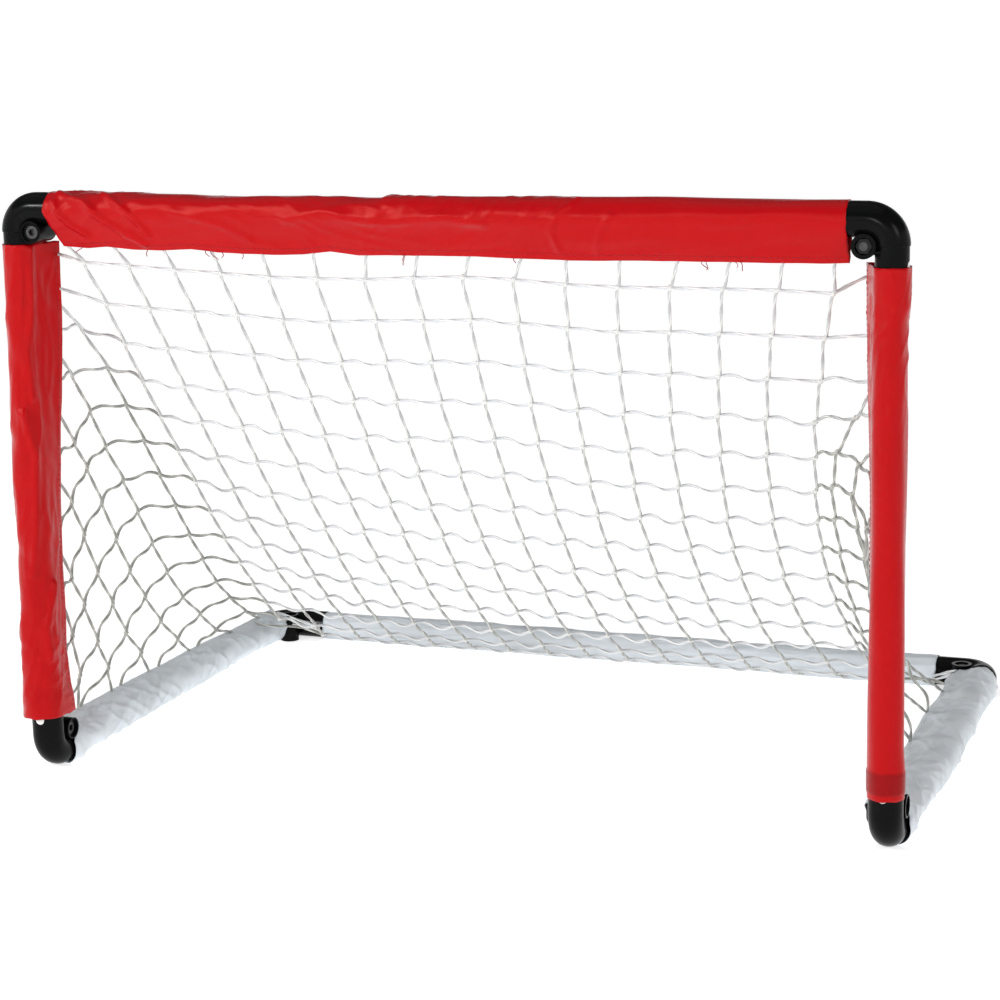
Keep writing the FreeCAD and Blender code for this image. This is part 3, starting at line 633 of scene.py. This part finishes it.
net = {
    "columns": 16, "rows": 14, "bar": 0.0410, "rowCord": 0.0385,
    "cords": {"Cord": 0.0026, "Spacing": 0.0022, "Twist": 150.0, "Knot": 0.0025, "Seed": 3},
    # some rows of knots at the back, with the others on smooth curves through them: the row, then in mm its
    # distance back from the posts, height and spacing across
    "someRows": ((1, 12.6, 406.1, 39.5), (3, 56.4, 336.3, 37.7), (7, 152.2, 205.9, 35.7),
                 (11, 265.9, 91.4, 35.9), (13, 338.2, 41.3, 37), (14, 382, 19.4, 37.8)),
    # middle of a row in mm, straight between these rows
    "middle": ((1, 2.5), (4, -5.5), (6, -9.1), (8, -11.8), (12, -14.9), (13, -16.7), (14, -25)),
    # how far each column's knots stand off that in mm, high up and low down, and where the column is sewn in
    "upperLift": (7, 4.5, 2.2, 1.3, -1.5, -2, -1, 0.5, 2, 0.7, -2, -3, -2.5, -2.4, -2.5, -3.5),
    "lowerLift": (4.6, 0.5, -3, -5, -4.8, -5, -5, -4.5, -4, -3.5, -3, -2.5, -1.9, 0.3, 2.5, 4.8),
    "topFirst": -0.300, "topSpacing": 0.04013,
    "topShift": (-1, -1, 2, 3, 5, 7, 10, 11, 12, 12, 6, 6, 9, 7, 5, 1),
    "feet": (-298, -247, -202, -168, -134, -95, -55, -16, 23, 62, 101, 140, 180, 220, 259),
    "cornerFoot": (-0.327, rearY - 0.0255, 0.0205),    # the first column ends over the left rear corner
    # left panel's columns in mm: height on the post's hem, end on the side's hem, first row, knots downwards
    "leftColumns": (
        (379, 394, 3, ((-326, 60, 353), (-319, 85, 319), (-316, 108, 284), (-314, 132, 250), (-314, 156, 216),
                       (-314, 182, 184), (-316, 209, 152), (-319, 238, 123), (-322, 268, 95), (-326, 302, 72),
                       (-328, 337, 50))),
        (338, 342, 4, ((-334, 54, 316), (-333, 78, 283), (-334, 102, 249), (-333, 127, 216), (-335, 153, 183),
                       (-336, 178, 150), (-337, 204, 118), (-338, 233, 88), (-339, 267, 64),
                       (-341, 300, 40))),
        (292, 262, 5, ((-330, 45, 262), (-337, 75, 236), (-338, 98, 202), (-338, 119, 166), (-340, 143, 133),
                       (-342, 171, 103), (-343, 199, 74), (-344, 231, 49))),
        (237, 187, 6, ((-335, 44, 213), (-340, 69, 180), (-340, 88, 144), (-342, 114, 111), (-344, 138, 79),
                       (-347, 168, 53))),
        (179, 121, 7, ((-338, 42, 150), (-342, 67, 121), (-343, 87, 84), (-348, 111, 54))),
        (138, 64, 8, ((-338, 38, 102), (-342, 53, 64)))),
    # the loose ends of its rows, by row: on the post's hem by height, on the side's hem by distance back
    "leftOnPost": {1: 418, 2: 391, 3: 359, 4: 319, 5: 255, 6: 196, 7: 146, 8: 92},
    "leftOnSide": {9: 49, 10: 69, 11: 137, 12: 204, 13: 276, 14: 379},
    # right panel's columns: height on the post's hem, row there, end on the side's hem, last row, slack
    "rightColumns": ((330, 3.4, 410, 13, 7), (288, 4.5, 362, 13, 6), (242, 5.6, 292, 12, 6),
                     (196, 6.7, 215, 11, 5), (150, 7.8, 140, 10, 4), (108, 8.8, 75, 10, 3)),
    "rightOnPost": {1: 414, 2: 372, 3: 340, 4: 316, 5: 268, 6: 226, 7: 180, 8: 138, 9: 88},
    "rightOnSide": {10: 70, 11: 140, 12: 210, 13: 290, 14: 385},
    "rightFoot": 0.2965,    # the right panel's first column ends on the rear sleeve
    # spare ends drawn over the rear corners in mm, measured from the rear bar
    "spareEnds": (((-333, -28, 29), (-293.5, -16.5, 13.5)), ((-330, -27, 25), (-294, -15.5, 10)),
                  ((-328, -26, 20), (-293.5, -15, 7.5)), ((322, -31, 22.5), (300.5, -16.5, 12)),
                  ((320, -30, 19), (300.5, -15.5, 8))),
    "foldLine": (0.0065, 0.0075),    # how far the hems lie behind and above the hinge
}


def hemAt(name, axis, value):
    # The place on a sleeve's hem where it passes this x, y or z
    line = hems[name]
    order = np.argsort(line[:, axis])
    return np.array([np.interp(value, line[order, axis], line[order, k]) for k in range(3)])


# How cords lie between their knots, and their painted shade: 0 is lit, 1 is in painted shade
cordLie = {
    "points": 11, "uneven": (0.75, 1.25),
    "tautRise": 0.0004,
    "mostSlack": 0.20, "rise": 0.85, "dip": 0.40,
    "sideRise": 0.00156, "sideRiseByLean": 0.00132, "mostRise": 0.072,
    "crossing": 0.0009,
    # painted shade for back columns growing by row, for back knots, and for the side panels by row and knot
    "columnPaintedShade": 0.22, "paintedShadeByRow": 0.035, "knotPaintedShade": 0.3,
    "sidePaintedShade": 0.1, "sideShade": 0.75, "sideKnotPaintedShade": 0.85,
}


def backRows():
    # Each row's distance back, height, spacing and middle in metres
    rows = np.arange(1, net["rows"] + 1)
    some = np.array(net["someRows"])
    curves = [np.polyfit(some[:, 0], some[:, k], len(some) - 1) for k in (1, 2, 3)]
    return np.stack([np.polyval(curve, rows) for curve in curves] + keyed(rows, net["middle"]), 1) / 1000


class Net:
    def __init__(self):
        self.points, self.held, self.links, self.knots = [], [], [], {}
        self.place()

    def add(self, point, held):
        self.points.append(np.array(point, float))
        self.held.append(held)
        return len(self.points) - 1

    def link(self, a, b, length, kind, panel):
        self.links.append((a, b, length, kind, panel))

    def place(self):
        columns, bar = net["columns"], net["bar"]
        rng = np.random.default_rng(8)
        for i in range(columns):
            top = net["topFirst"] + net["topSpacing"] * i + net["topShift"][i] / 1000
            last = self.add(hemAt("crossbarCloth", 0, top), True)
            for j, (back, height, spacing, middle) in enumerate(backRows(), 1):
                if i == 0 and j == net["rows"]:
                    continue
                low = smooth(j, 3.5, 9.5)
                fade = min(1, (net["rows"] + 0.6 - j) / 2.5)    # the last rows lie on the rear bar
                lift = net["upperLift"][i] * (1 - low) + net["lowerLift"][i] * low * fade
                x = middle + spacing * (i - (columns - 1) / 2)
                place = np.array([x, postY + back, height + lift / 1000])
                knot = self.add(place + rng.uniform(-0.0006, 0.0006, 3), True)
                self.knots[i, j] = knot
                self.link(last, knot, bar, "column", "back")
                last = knot
            end = hemAt("rearCloth", 0, net["feet"][i - 1] / 1000) if i else net["cornerFoot"]
            self.link(last, self.add(end, True), bar, "column", "back")
        for n, (height, back, first, knots) in enumerate(net["leftColumns"], 1):
            last = self.add(hemAt("leftPostCloth", 2, height / 1000), True)
            for j, (x, y, z) in enumerate(knots, first):
                knot = self.add((x / 1000, postY + y / 1000, z / 1000), True)
                self.knots[-n, j] = knot
                self.link(last, knot, bar, "column", "left")
                last = knot
            foot = hemAt("leftSideCloth", 1, postY + back / 1000)
            self.link(last, self.add(foot, True), bar, "column", "left")
        for n, (height, firstRow, back, lastRow, slack) in enumerate(net["rightColumns"], 1):
            top = hemAt("rightPostCloth", 2, height / 1000)
            foot = hemAt("rearCloth", 0, net["rightFoot"])
            if n > 1:
                foot = hemAt("rightSideCloth", 1, postY + back / 1000)
            total = np.linalg.norm(foot - top)
            last, before = self.add(top, True), firstRow
            for j in range(int(firstRow) + 1, lastRow + 1):
                knot = self.add(top + (foot - top) * min((j - firstRow) * bar / total, 0.95), False)
                self.knots[columns - 1 + n, j] = knot
                self.link(last, knot, (j - before) * bar, "column", "right")
                last, before = knot, j
            rest = max(total - (lastRow - firstRow) * bar, 0.008) + slack / 1000
            self.link(last, self.add(foot, True), rest, "column", "right")
        for j in range(1, net["rows"] + 1):
            across = sorted(i for i, row in self.knots if row == j)
            for a, b in zip(across[:-1], across[1:]):
                if b - a == 1:
                    panel = "left" if a < 0 else "right" if b > columns - 1 else "back"
                    self.link(self.knots[a, j], self.knots[b, j], net["rowCord"], "row", panel)
            for i, panel in ((across[0], "left"), (across[-1], "right")):
                onPost = net[panel + "OnPost"]
                if j in onPost:
                    end = hemAt(panel + "PostCloth", 2, onPost[j] / 1000)
                else:
                    end = hemAt(panel + "SideCloth", 1, postY + net[panel + "OnSide"][j] / 1000)
                knot = self.knots[i, j]
                loose = self.add(end, True)
                pair = (loose, knot) if panel == "left" else (knot, loose)
                self.link(*pair, max(np.linalg.norm(self.points[knot] - end) * 1.05, 0.012), "row", panel)
        for pair in net["spareEnds"]:
            ends = [self.add((x / 1000, rearY + y / 1000, z / 1000), True) for x, y, z in pair]
            self.link(*ends, bar, "spare", "back")

    def settle(self, steps=160, passes=14, tick=0.004, kept=0.96):
        # Loose knots fall, and each pass draws the cords back to length, those that share no knot together
        x = np.array(self.points)
        before = x.copy()
        free = np.where(self.held, 0.0, 1.0)
        loose = [cord for cord in self.links if free[cord[0]] + free[cord[1]] > 0]
        a, b, length = (np.array([cord[k] for cord in loose]) for k in range(3))
        groups, used = [], []
        for n in range(len(loose)):
            for group, seen in zip(groups, used):
                if a[n] not in seen and b[n] not in seen:
                    group.append(n)
                    seen.update((a[n], b[n]))
                    break
            else:
                groups.append([n])
                used.append({a[n], b[n]})
        for _ in range(steps):
            speed = (x - before) * kept
            before = x.copy()
            x = x + (speed + np.array([0, 0, -9.8]) * tick * tick) * free[:, None]
            for _ in range(passes):
                for group in groups:
                    one, two = a[group], b[group]
                    gap = x[two] - x[one]
                    now = np.linalg.norm(gap, axis=1)
                    over = np.maximum(now - length[group], 0) / np.maximum(now, 1e-9)
                    push = gap * (over / (free[one] + free[two]))[:, None]
                    x[one] += push * free[one][:, None]
                    x[two] -= push * free[two][:, None]
        self.points = x
        self.rowOf = {n: j for (i, j), n in self.knots.items()}

    def cordLines(self, panel):
        # Each link as a short run of points and the painted shade of its cord
        rng = np.random.default_rng(5)
        lines = []
        for a, b, length, kind, where in self.links:
            wobble = rng.uniform(*cordLie["uneven"])
            if where != panel:
                continue
            p, q = self.points[a], self.points[b]
            gap = np.linalg.norm(q - p)
            way = (q - p) / gap
            t = np.linspace(0, 1, cordLie["points"])
            half, full = np.sin(math.pi * t), np.sin(2 * math.pi * t)
            line = p + (q - p) * t[:, None]
            lift = np.array([0, 0, 1.0]) - way * way[2]
            lift /= np.linalg.norm(lift)
            first, other = (b, a) if kind == "column" else (a, b)
            number = self.rowOf.get(first, self.rowOf.get(other, net["rows"]))
            if kind == "row" and panel != "back" and number < 3:
                line += lift * (cordLie["tautRise"] * half)[:, None]
            elif kind == "row" and panel == "back":
                # A slack row rises from its knot, then dips before the next one
                slack = min(max(length / gap - 1, 0), cordLie["mostSlack"])
                tall = gap / math.pi * math.sqrt(slack) * wobble
                line += lift * (tall * (full * cordLie["rise"] - half * cordLie["dip"]))[:, None]
            elif kind == "row":
                # On the side panels it runs level from the higher knot, then drops steeply into the lower one
                tall = cordLie["sideRise"] + cordLie["sideRiseByLean"] * abs(way[2])
                tall = min(tall, gap * cordLie["mostRise"]) * wobble
                line += lift * (tall * (half + full if p[2] < q[2] else half - full))[:, None]
            elif kind == "column":
                # The two strands cross at each knot, so a column comes in on one side and leaves on the other
                aside = -np.cos(math.pi * t) * np.sin(math.pi * np.clip(t * 8, 0, 1) / 2)
                line[:, 0] += cordLie["crossing"] * wobble * aside
            # Painted shade: side cords darken row by row downwards, back columns darken lower down, back rows
            # stay lit
            if panel != "back":
                tone = cordLie["sidePaintedShade"] + cordLie["sideShade"] * smooth(number, 2.5, 5.5)
            else:
                tone = cordLie["columnPaintedShade"] + cordLie["paintedShadeByRow"] * number if kind == "column" else 0.0
            lines.append((line, tone))
        return lines


hanging = Net()
hanging.settle()
print("net settled:", len(hanging.points), "knots and ends,", len(hanging.links), "cords")


def newTree(name, sizes):
    tree = bpy.data.node_groups.new(name, "GeometryNodeTree")
    inputs = {"Geometry": "Geometry", **dict.fromkeys(sizes, "Float"), "Seed": "Int", "Finish": "Material"}
    for label, kind in inputs.items():
        tree.interface.new_socket(label, in_out="INPUT", socket_type="NodeSocket" + kind)
    tree.interface.new_socket("Geometry", in_out="OUTPUT", socket_type="NodeSocketGeometry")
    graph = Graph(tree)
    return tree, graph, graph.node("NodeGroupInput")


def closeTree(graph, geometry, finish):
    real = graph.node("GeometryNodeRealizeInstances", None, {"Geometry": geometry})
    finished = graph.node("GeometryNodeSetMaterial", None, {"Geometry": real, "Material": finish})
    smoothed = graph.node("GeometryNodeSetShadeSmooth", None, {"Geometry": finished})
    graph.node("NodeGroupOutput", None, {"Geometry": smoothed})


def cordTree():
    # Cords swept along edges, and a knot at every marked point
    tree, graph, given = newTree("netCords", ("Cord", "Spacing", "Twist", "Knot"))
    marked = graph.node("GeometryNodeInputNamedAttribute", {"data_type": "FLOAT"}, {"Name": "isKnot"})
    curves = graph.node("GeometryNodeMeshToCurve", None, {"Mesh": given.out("Geometry")})
    fine = graph.node("GeometryNodeResampleCurve", {"mode": "LENGTH"},
                      {"Curve": curves, "Length": given.out("Spacing")})
    run = graph.node("GeometryNodeSplineParameter", None, None, "Length")
    tilted = graph.node("GeometryNodeSetCurveTilt", None, {"Curve": fine, "Tilt": run * given.out("Twist")})
    stored = graph.node("GeometryNodeStoreNamedAttribute", {"data_type": "FLOAT", "domain": "POINT"},
                        {"Geometry": tilted, "Name": "cordAlong", "Value": run})
    ring = graph.node("GeometryNodeCurvePrimitiveCircle", None, {"Resolution": 8, "Radius": 1.0})
    # The round is pinched to two lobes, as two strands lie side by side
    spot = graph.node("GeometryNodeInputPosition")
    parts = graph.node("ShaderNodeSeparateXYZ", None, {0: spot})
    half = given.out("Cord") * 0.5
    wide = parts * half * 1.10
    tall = parts.out("Y") * half * ((parts * parts) * 0.24 + 0.74)
    lobed = graph.node("ShaderNodeCombineXYZ", None, {"X": wide, "Y": tall})
    shaped = graph.node("GeometryNodeSetPosition", None, {"Geometry": ring, "Position": lobed})
    roundWay = graph.node("GeometryNodeSplineParameter", None, None, "Factor")
    profile = graph.node("GeometryNodeStoreNamedAttribute", {"data_type": "FLOAT", "domain": "POINT"},
                         {"Geometry": shaped, "Name": "cordAround", "Value": roundWay})
    swept = graph.node("GeometryNodeCurveToMesh", None,
                       {"Curve": stored, "Profile Curve": profile, "Fill Caps": True})
    knotPoints = graph.node("GeometryNodeMeshToPoints", None,
                            {"Mesh": given.out("Geometry"), "Selection": marked})
    bead = graph.node("GeometryNodeMeshUVSphere", None, {"Segments": 8, "Rings": 6, "Radius": 1.0})
    turn = graph.node("FunctionNodeRandomValue", {"data_type": "FLOAT_VECTOR"},
                      {0: (0, 0, 0), 1: (3.1, 3.1, 3.1), "Seed": given.out("Seed")})
    knot = given.out("Knot")
    fat = graph.node("ShaderNodeCombineXYZ", None, {"X": knot, "Y": knot * 0.8, "Z": knot * 0.62})
    knots = graph.node("GeometryNodeInstanceOnPoints", None,
                       {"Points": knotPoints, "Instance": bead, "Rotation": turn, "Scale": fat})
    joined = graph.node("GeometryNodeJoinGeometry")
    for part in (swept, knots):
        tree.links.new(part.socket, joined.socket.node.inputs[0])
    closeTree(graph, joined, given.out("Finish"))
    return tree


def evaluated(name, source, tree, values):
    # The modifier's result as a plain mesh piece
    modifier = source.modifiers.new("build", "NODES")
    modifier.node_group = tree
    sockets = {item.name: item.identifier for item in tree.interface.items_tree if item.in_out == "INPUT"}
    for label, value in values.items():
        modifier[sockets[label]] = value
    bpy.context.view_layer.update()
    depsgraph = bpy.context.evaluated_depsgraph_get()
    mesh = bpy.data.meshes.new_from_object(source.evaluated_get(depsgraph))
    source.modifiers.remove(modifier)
    bpy.data.objects.remove(source)
    mesh.name = name
    return newObject(name, mesh)


def lineObject(name, lines, knots=(), values=None):
    # Lines as chains of edges, then loose points; values holds a number for each of them under every label
    points, edges = [], []
    for line in lines:
        edges.extend((len(points) + k, len(points) + k + 1) for k in range(len(line) - 1))
        points.extend(line)
    points.extend(knots)
    mesh = bpy.data.meshes.new(name)
    mesh.from_pydata([tuple(p) for p in points], edges, [])
    for label, numbers in (values or {}).items():
        mesh.attributes.new(label, "FLOAT", "POINT").data.foreach_set("value", numbers)
    return newObject(name, mesh)


def foldShare(points):
    # Each point's share of the angle about the hinge between the hems of base and posts, stored with the net
    behind, above = net["foldLine"]
    angle = np.degrees(np.arctan2(points[:, 2] - pivotZ - above, points[:, 1] - pivotY - behind))
    return np.clip(1 - angle / 90, 0, 1)


def triangles(piece):
    return sum(len(p.vertices) - 2 for p in piece.data.polygons)


def netPiece(panel, name, builder):
    cords = hanging.cordLines(panel)
    knots = [hanging.points[n] for (i, j), n in sorted(hanging.knots.items())
             if panel == ("left" if i < 0 else "right" if i >= net["columns"] else "back")]
    lines = [line for line, tone in cords]
    # knots take painted shade too, light at the back and dark on the side panels
    knotPaintedShade = cordLie["knotPaintedShade" if panel == "back" else "sideKnotPaintedShade"]
    values = {
        "isKnot": [0.0] * sum(map(len, lines)) + [1.0] * len(knots),
        "cordTone": [tone for line, tone in cords for _ in line] + [knotPaintedShade] * len(knots),
        "foldShare": foldShare(np.concatenate(lines + [np.array(knots)])),
    }
    source = lineObject(name + "Lines", lines, knots, values)
    piece = evaluated(name, source, builder, {**net["cords"], "Finish": netTwine})
    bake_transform(piece)
    weight = np.zeros(len(piece.data.vertices), np.float32)
    piece.data.attributes["foldShare"].data.foreach_get("value", weight)
    return piece


cordBuilder = cordTree()
for panel, name, node in (("back", "backNetCords", "back_net"), ("left", "leftNetCords", "left_net"),
                          ("right", "rightNetCords", "right_net")):
    piece = netPiece(panel, name, cordBuilder)
    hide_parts(node)
    print("net panel", name, "triangles", triangles(piece))


# Stitches and loose threads

def stitchTree():
    # One flat stitch at every step along the given lines, turned along them
    tree, graph, given = newTree("stitches", ("Pitch", "Length", "Thread"))
    curves = graph.node("GeometryNodeMeshToCurve", None, {"Mesh": given.out("Geometry")})
    steps = graph.node("GeometryNodeCurveToPoints", {"mode": "LENGTH"},
                       {"Curve": curves, "Length": given.out("Pitch")})
    bead = graph.node("GeometryNodeMeshUVSphere", None, {"Segments": 6, "Rings": 4, "Radius": 0.5})
    uneven = graph.node("FunctionNodeRandomValue", {"data_type": "FLOAT"},
                        {2: 0.8, 3: 1.1, "Seed": given.out("Seed")}, 1)
    thread, long = given.out("Thread"), given.out("Length") * uneven
    size = graph.node("ShaderNodeCombineXYZ", None, {"X": thread, "Y": thread, "Z": long})
    placed = graph.node("GeometryNodeInstanceOnPoints", None, {
        "Points": steps, "Instance": bead, "Rotation": steps.out("Rotation"), "Scale": size})
    closeTree(graph, placed, given.out("Finish"))
    return tree


def threadMaterial(name, dark, pale):
    made, graph = newMaterial(name, pale)
    where = graph.objectPlace()
    fibre = graph.noise(where, 1800.0, 2.0)
    finishMaterial(graph, {
        "Base Color": graph.mix(fibre, dark, pale),
        "Roughness": 0.5 + fibre * 0.2,
        "Normal": graph.bump(fibre, 0.4, 0.0001),
    })
    return made


redThread = threadMaterial("redThread", (0.16, 0.002, 0.005, 1), (0.34, 0.006, 0.012, 1))
whiteThread = threadMaterial("whiteThread", (0.50, 0.53, 0.57, 1), (0.74, 0.76, 0.78, 1))


stitches = {"Pitch": 0.0042, "Length": 0.0027, "Thread": 0.0005, "Seed": 6}
sewing = stitchTree()
for name, cloths, thread, (_, body, slotName) in (
        ("redStitches", ("crossbarCloth", "leftPostCloth", "rightPostCloth"), redThread, frontCloth),
        ("whiteStitches", ("leftSideCloth", "rightSideCloth", "rearCloth"), whiteThread, baseCloth)):
    lines = [line[3:-3] for cloth in cloths for line in seams[cloth]]    # they stop short of the frayed ends
    piece = evaluated(name, lineObject(name + "Lines", lines), sewing, {**stitches, "Finish": thread})
    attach(piece, body)
    print("stitches", name, "triangles", triangles(piece))

# Threads left uncut below the crossbar's hem in mm: place along it, length, lean
looseThreads = {
    "threads": ((-288, 5, -4), (-231, 7, 0), (-181, 6, 3), (-177, 8, 5), (-168, 6, -3), (-153, 6, 1),
                (-21, 9, 2), (-18, 6, -2), (68, 5, 1), (208, 7, 4), (211, 8, -2), (230, 6, 2), (234, 8, 4)),
    "offHem": (0, -0.0006, 0.0004),
    "cords": {"Cord": 0.0007, "Spacing": 0.001, "Twist": 0.0, "Knot": 0.0, "Seed": 2},
}
lines = []
t = np.linspace(0, 1, 7)
for n, (x, length, lean) in enumerate(looseThreads["threads"]):
    top = hemAt("crossbarCloth", 0, x / 1000) + looseThreads["offHem"]
    sideways, outwards = lean * t ** 1.6 + 1.2 * np.sin(t * 5 + n), -0.8 * np.sin(t * 3 + n * 2)
    drop = np.stack([sideways, outwards, -length * t], 1) / 1000
    lines.append(top + drop - drop[0])
source = lineObject("looseThreadLines", lines)
piece = evaluated("looseThreads", source, cordBuilder, {**looseThreads["cords"], "Finish": redThread})
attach(piece, "front_frame")


# Floor, light and camera

floorRings = ((9, 0), (120, 0), (160, 60))    # half width and height of each square, the last a raised rim
corners = ((-1, -1), (1, -1), (1, 1), (-1, 1))
points = [(x * far, y * far, z) for far, z in floorRings for x, y in corners]
strips = [(k + r, k + r + 4, (k + 1) % 4 + r + 4, (k + 1) % 4 + r) for r in (0, 4) for k in range(4)]
paper, graph = newMaterial("paleFloor", (0.9, 0.9, 0.9, 1))
cloud = graph.noise(graph.objectPlace(), 3.0)
finishMaterial(graph, {
    "Base Color": graph.mix(cloud, (0.84, 0.84, 0.84, 1), (0.86, 0.86, 0.86, 1)),
    "Roughness": 0.9,
    "Emission Color": (1, 1, 1, 1),
    "Emission Strength": 0.68,
})
floor = meshPiece("floor", points, [(0, 1, 2, 3)] + strips, paper)
floor.data.polygons.foreach_set("use_smooth", [False] * len(floor.data.polygons))

world = bpy.data.worlds.new("studio")
world.use_nodes = True
sky = world.node_tree.nodes["Background"]
sky.inputs["Color"].default_value = (1, 1, 1, 1)
sky.inputs["Strength"].default_value = 0.14
bpy.context.scene.world = world
bpy.context.scene.view_settings.view_transform = "Standard"

lights = {
    "keyLight": {"kind": "AREA", "place": (-1.5, -2.1, 1.3), "size": 0.30, "power": 26},
    "frontLight": {"kind": "AREA", "place": (0.2, -2.4, 0.9), "size": 0.22, "power": 4},
    "fillLight": {"kind": "AREA", "place": (2.2, -1.6, 1.4), "size": 0.9, "power": 13},
    "skyLight": {"kind": "SUN", "place": (-0.6, -0.4, 3.0), "size": 1.2, "power": 0.4},
}
lightsAim = (0, 0, 0.2)
for name, light in lights.items():
    data = bpy.data.lights.new(name, light["kind"])
    data.energy = light["power"]
    if light["kind"] == "SUN":
        data.angle = light["size"]
    else:
        data.shape, data.size = "DISK", light["size"]
    lamp = newObject(name, data)
    lamp.location = light["place"]
    lamp.rotation_euler = (Vector(lightsAim) - lamp.location).to_track_quat("-Z", "Y").to_euler()

# The photograph's view, angles in radians
view = {"place": (0.6731, -1.9003, 0.6184), "yaw": 0.35407, "pitch": 0.20588, "roll": -0.02071, "lens": 88.86}
yaw, pitch, roll = view["yaw"], view["pitch"], view["roll"]
ahead = Vector((-math.sin(yaw) * math.cos(pitch), math.cos(yaw) * math.cos(pitch), -math.sin(pitch)))
right = Vector((math.cos(yaw), math.sin(yaw), 0))
upward = right.cross(ahead)
rightRolled = right * math.cos(roll) + upward * math.sin(roll)
upRolled = upward * math.cos(roll) - right * math.sin(roll)
turn = Matrix((rightRolled, upRolled, -ahead)).transposed()
lens = bpy.data.cameras.new("camera")
lens.lens, lens.sensor_width = view["lens"], 36
camera = newObject("camera", lens)
camera.matrix_world = Matrix.Translation(view["place"]) @ turn.to_4x4()
bpy.context.scene.camera = camera
